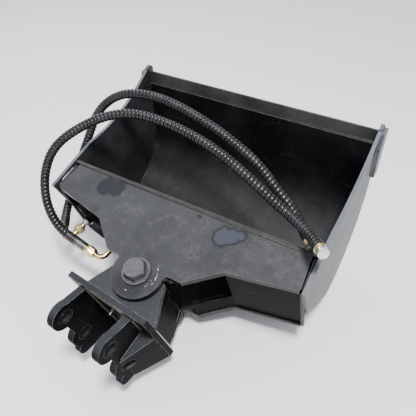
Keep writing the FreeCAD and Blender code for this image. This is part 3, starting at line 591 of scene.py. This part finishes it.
def sleeve_radius(s, turn_share):
    """Radius of the ribbed sleeve, drawn in a little where it ends on the hose."""
    ribs = 0.0007 * abs(math.sin(math.pi * s / SLEEVE_RIB)) ** 3
    return SLEEVE_R - ribs - 0.0005 * clamped((s - 0.03) / 0.005)


def sleeve(letter, line):
    """Short rubber sleeve over the joint of a hose and its ferrule."""
    start, axis = line[0], (line[1] - line[0]).normalized()
    path = [start - axis * SLEEVE_BACK] + [p for p in line if (p - start).length < SLEEVE_REACH]
    cuff = swept("sleeve_" + letter, path, sleeve_radius, 32, 0.0008, "hose_rubber")
    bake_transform(cuff)


sleeve("a", line_a)
sleeve("b", line_b)

# ------------------------------------------------------------------------------------------
# Port fittings on the cylinder, in mm
# ------------------------------------------------------------------------------------------
PORT_A, PORT_B = 46.0, 186.0
PORT_FACE, ADAPTER_END, NUT_A_END = 38.0, 60.0, 84.0
HOSE_GAP = 6.5             # between a ferrule and its hose
FERRULE_L = 38
NUT_B_L = 34
COLLAR_GAP = 1.5           # a collar's zero past the nut or adapter behind it
TAIL_COLLAR_GAP = 2.5      # a tail collar's zero short of its ferrule or nut
PORT_DIR = heading(CYLINDER, 0, -1, 0)
A_DIR = heading(REST, -0.61, 0.79, -0.04)
B_DIR = heading(REST, -0.93, 0.075, 0.37)
NUT_FLATS = 26.5
ADAPTER_FLATS = 24.0
ADAPTER = [(0, 12.5), (0.8, 13.6), (8, 13.6), (9, 12.6), (9.6, 9.2), (11, 9.2), (11.4, 9.9), (12.4, 9.2),
           (13, 9.9), (14, 9.2), (14.6, 9.9), (15.6, 9.2), (16.2, 9.9), (17.2, 9.2), (22, 9.2)]
NUT_A = [(0, 12.0), (0, 13.6), (1.4, 15.3), (19, 15.3), (20.6, 13.6), (21, 11.6), (24, 11.2)]
NUT_B = [(0, 9.5), (0, 12.4), (1.2, 13.2), (3.6, 13.2), (5.4, 15.3), (27, 15.3), (28.8, 13.6), (29.4, 12.2),
         (NUT_B_L, 12.2)]
FERRULE = [(0, 11.5), (0, 13.6), (1.5, 14.4), (4, 14.4), (5, 13.2), (7, 13.2), (8, 14.6), (12, 14.6),
           (13, 13.4), (15, 13.4), (16, 14.6), (20, 14.6), (21, 13.4), (23, 13.4), (24, 14.6), (28, 14.6),
           (29, 13.4), (31, 13.4), (32, 14.6), (36.5, 14.6), (FERRULE_L, 13.8)]
COLLAR = [(-1.5, 8.4), (-1.5, 10.2), (-0.8, 11.0), (2.2, 11.0), (3, 10.2), (3, 8.4)]


def from_end(line, back):
    """Point the given mm behind the line's start, along its first direction."""
    axis = (line[1] - line[0]).normalized()
    return line[0] - axis * back * MM


for letter, port in (("a", PORT_A), ("b", PORT_B)):
    adapter = turned("adapter_" + letter + "_hex", at(CYLINDER, port, -PORT_FACE, 0), PORT_DIR, ADAPTER,
                     "zinc_fitting", flats=ADAPTER_FLATS)
    on("cylinder_barrel", adapter, stands_for="adapter_" + letter)

nut_b_start = from_end(line_b, HOSE_GAP + FERRULE_L + NUT_B_L)
for letter, place, way, profile in (
        ("a", at(CYLINDER, PORT_A, -ADAPTER_END, 0), PORT_DIR, NUT_A),
        ("b", nut_b_start, B_DIR, NUT_B)):
    nut = turned("swivel_nut_" + letter + "_hex", place, way, profile, "brass_fitting", flats=NUT_FLATS)
    on("cylinder_barrel", nut, stands_for="swivel_nut_" + letter)

for letter, line, way, slot in (("a", line_a, A_DIR, "zinc_fitting"), ("b", line_b, B_DIR, "brass_fitting")):
    ferrule = turned("ferrule_" + letter + "_crimped", from_end(line, HOSE_GAP + FERRULE_L), way, FERRULE,
                     "crimped_steel")
    on("cylinder_barrel", ferrule, stands_for="ferrule_" + letter)

for name, place, way in (
        ("elbow_a_collar", at(CYLINDER, PORT_A, -NUT_A_END - COLLAR_GAP, 0), PORT_DIR),
        ("elbow_a_tail_collar", from_end(line_a, HOSE_GAP + FERRULE_L + TAIL_COLLAR_GAP), A_DIR),
        ("elbow_b_collar", at(CYLINDER, PORT_B, -ADAPTER_END - COLLAR_GAP, 0), PORT_DIR),
        ("elbow_b_tail_collar", nut_b_start - B_DIR * TAIL_COLLAR_GAP * MM, B_DIR)):
    on("cylinder_barrel", turned(name, place, way, COLLAR, "brass_fitting"))


# ------------------------------------------------------------------------------------------
# Weld beads, in mm
# ------------------------------------------------------------------------------------------
BEAD_SIDES, BEAD_STEP = 9, 0.0014
RIPPLE = 0.0042            # from ripple to ripple, in metres
TAPER = 0.004              # how far a bead swells from each end, in metres


def bead(name, body, place, points, radius, material="weld_black", seed=0.0):
    """Rippled weld bead along points of a frame."""
    line = [at(place, x, y, z) for x, y, z in points]
    length = length_of(line)

    def radius_at(s, turn_share):
        ripple = abs(math.sin(math.pi * s / RIPPLE)) * 0.16
        rough = noise.noise(Vector((s * 160.0, turn_share * 2.0, seed))) * 0.16
        lumps = noise.noise(Vector((s * 28.0, 0.0, seed + 5.0))) * 0.16
        taper = min(1.0, (s + 0.0008) / TAPER, (length - s + 0.0008) / TAPER)
        return radius * MM * (0.9 + ripple + rough + lumps) * taper

    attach(swept(name, line, radius_at, BEAD_SIDES, BEAD_STEP, material), body)


def both_sides(name, body, place, points, radius, material="weld_black"):
    """The same bead on the right and the left."""
    for side, sign in (("right", 1), ("left", -1)):
        mirrored = [(sign * x, y, z) for x, y, z in points]
        bead(name + "_" + side, body, place, mirrored, radius, material, seed=sign * 3.0 + len(name))


def across_part(half, y, z):
    """Line across the part, from its left to its right."""
    return [(x, y, z) for x in (-half, half)]


# Shell profile in the side view: upright back, heel, front sweep and straight front wall.
SHELL_T = 8.0
BACK_Y = 230
HEEL_R, SWEEP_R = 120, 246
ARC_Y, HEEL_Z, SWEEP_Z = 350, -216, -90
FRONT_DEG = -15.80
WALL_DIR = Vector((0, math.cos(math.radians(90 + FRONT_DEG)), math.sin(math.radians(90 + FRONT_DEG))))
WALL_OUT = Vector((0, WALL_DIR.z, -WALL_DIR.y))
WALL_END = Vector((0, 634, 10))


def shell_profile(offset, stop):
    """Points (y, z) along the shell, moved outward by offset, ending stop short of the wall's end."""
    points = [(BACK_Y - offset, 0), (BACK_Y - offset, HEEL_Z)]
    for k in range(1, 17):
        a = math.radians(180 + 90 * k / 16)
        points.append((ARC_Y + (HEEL_R + offset) * math.cos(a), HEEL_Z + (HEEL_R + offset) * math.sin(a)))
    for k in range(1, 25):
        a = math.radians(-90 + (FRONT_DEG + 90) * k / 24)
        points.append((ARC_Y + (SWEEP_R + offset) * math.cos(a), SWEEP_Z + (SWEEP_R + offset) * math.sin(a)))
    end = WALL_END + WALL_OUT * offset - WALL_DIR * stop
    return points + [(end.y, end.z)]


inner_seam = [(389.5, y, z) for y, z in shell_profile(0, 42)]
outer_seam = [(390.0, y, z) for y, z in shell_profile(SHELL_T, 150)[2:]]
both_sides("weld_shell_inner", "bucket", REST, inner_seam, 3.4)
both_sides("weld_shell_outer", "bucket", REST, outer_seam, 2.2)
lip_in = WALL_END + WALL_OUT * SHELL_T - WALL_DIR * 38
lip_out = WALL_END + WALL_OUT * SHELL_T - WALL_DIR * 112
bead("weld_lip_inner", "bucket", REST, across_part(388, lip_in.y, lip_in.z), 3.6, seed=1.0)
bead("weld_lip_outer", "bucket", REST, across_part(388, lip_out.y, lip_out.z), 4.5, seed=2.0)

PLATE_SEAM_Y = 221.6       # where the housing's plates meet the back of the shell
REAR_SEAM_Z = -233         # seams on the inside of the housing's rear plate
bead("weld_front_plate", "bucket", REST, across_part(372, PLATE_SEAM_Y, 0), 3.2, "weld_brown", seed=3.0)
bead("weld_rear_plate", "bucket", REST, across_part(372, PLATE_SEAM_Y, -251), 4.0, seed=4.0)
bead("weld_plate_end_left", "bucket", REST, [(-383.5, 219, -4), (-389, 131, -4)], 5.2, seed=5.0)
bead("weld_plate_end_right", "bucket", REST, [(383.5, 219, -4), (389, 131, -4)], 5.2, seed=6.0)
# A thin bright bead along the left plate end: painted highlight on the weld's edge.
bead("weld_plate_end_glint", "bucket", REST, [(-386.5, 205, 0.5), (-389, 150, 0.5)], 1.3, "weld_highlight",
     seed=9.0)
both_sides("weld_closing_top", "bucket", REST, [(202, 97, -18), (381, 130, -18)], 3.4)
both_sides("weld_closing_low", "bucket", REST, [(200, 93, REAR_SEAM_Z), (384, 127, REAR_SEAM_Z)], 3.4)
both_sides("weld_closing_end", "bucket", REST, [(386.5, 130, -14), (386.5, 130, -238)], 5.0)
both_sides("weld_rib_low", "bucket", REST, [(116, 24, REAR_SEAM_Z), (196, 92, REAR_SEAM_Z)], 3.4)
for z in (-95, -80, -157, -172):
    bead("weld_base_lug_%d" % -z, "bucket", REST, [(x, PLATE_SEAM_Y, z) for x in (-383, -323)], 3.0, seed=z)

strip_top = WALL_END + WALL_OUT * 26 + WALL_DIR * 6
strip_low = strip_top - WALL_DIR * 150
strip_outline = [strip_top, strip_low, strip_low - WALL_OUT * 34,
                 strip_top - WALL_OUT * 52 - WALL_DIR * 40, strip_top - WALL_OUT * 38]
for side, sign in (("right", 1), ("left", -1)):
    bead("weld_strip_" + side, "bucket", REST, [(sign * 400, p.y, p.z) for p in strip_outline], 2.2,
         "strip_sheen_paint", seed=sign * 7.0)

EAR_OUT, EAR_IN = 84, 64
BASE_SEAM_Y = -105.5       # seams on the hitch's base plate
GUSSET_SEAM_Z = -47
bead("weld_hitch_top", "hitch", HITCH, across_part(113, -90, -21.3), 4.4, seed=11.0)
# The cheek welds are painted bright: a painted highlight of the lit cheek edge.
both_sides("weld_cheek", "hitch", HITCH, [(116.5, -89.5, -38), (116.5, -89.5, -198)], 4.0, "weld_highlight")
both_sides("weld_cheek_top", "hitch", HITCH, [(116, -88, -36.3), (73, 10, -36.3)], 3.6)
for name, x, low in (("weld_ear_outer", EAR_OUT, -45), ("weld_ear_inner", EAR_IN, -195)):
    both_sides(name, "hitch", HITCH, [(x, BASE_SEAM_Y, 33), (x, BASE_SEAM_Y, low)], 4.2, "weld_brown")
for z in (45, 36):
    bead("weld_base_row_%d" % z, "hitch", HITCH, across_part(62, -105.2, z), 3.0, "weld_rusty", seed=z)
both_sides("weld_gusset_ear", "hitch", HITCH, [(EAR_OUT, y, GUSSET_SEAM_Z) for y in (-106, -192)], 3.4)
both_sides("weld_gusset_base", "hitch", HITCH, [(x, BASE_SEAM_Y, GUSSET_SEAM_Z) for x in (86, 123)], 3.4)

# ------------------------------------------------------------------------------------------
# Floor and light
# ------------------------------------------------------------------------------------------
FLOOR_HALF = 12.0
floor_mesh = bpy.data.meshes.new("floor")
floor_corners = [(x * FLOOR_HALF, y * FLOOR_HALF, 0) for x, y in ((-1, -1), (1, -1), (1, 1), (-1, 1))]
floor_mesh.from_pydata(floor_corners, [], [(0, 1, 2, 3)])
floor = bpy.data.objects.new("floor", floor_mesh)
scene.collection.objects.link(floor)
pale = Shader("pale_floor")
pale.set("Base Color", pale.mix(pale.noise(3.0, 4), (0.93, 0.93, 0.93), (0.95, 0.95, 0.95)))
pale.set("Roughness", 0.85)
floor_mesh.materials.append(pale.material)

world = bpy.data.worlds.new("studio")
scene.world = world
world.use_nodes = True
world.node_tree.nodes["Background"].inputs["Color"].default_value = (0.90, 0.93, 1.0, 1.0)
world.node_tree.nodes["Background"].inputs["Strength"].default_value = 1.0


def area(name, place, target, size, power, colour):
    """Round soft lamp that faces a target."""
    lamp = bpy.data.lights.new(name, "AREA")
    lamp.shape = "DISK"
    lamp.size = size
    lamp.energy = power
    lamp.color = colour
    light = bpy.data.objects.new(name, lamp)
    scene.collection.objects.link(light)
    light.location = place
    light.rotation_euler = (Vector(target) - Vector(place)).to_track_quat("-Z", "Y").to_euler()


area("key", (0.95, -0.95, 3.5), (0, 0, 0.2), 0.6, 205.0, (1.0, 0.99, 0.97))
area("fill", (-2.4, 1.2, 2.4), (0, 0, 0.2), 1.4, 40.0, (0.95, 0.97, 1.0))
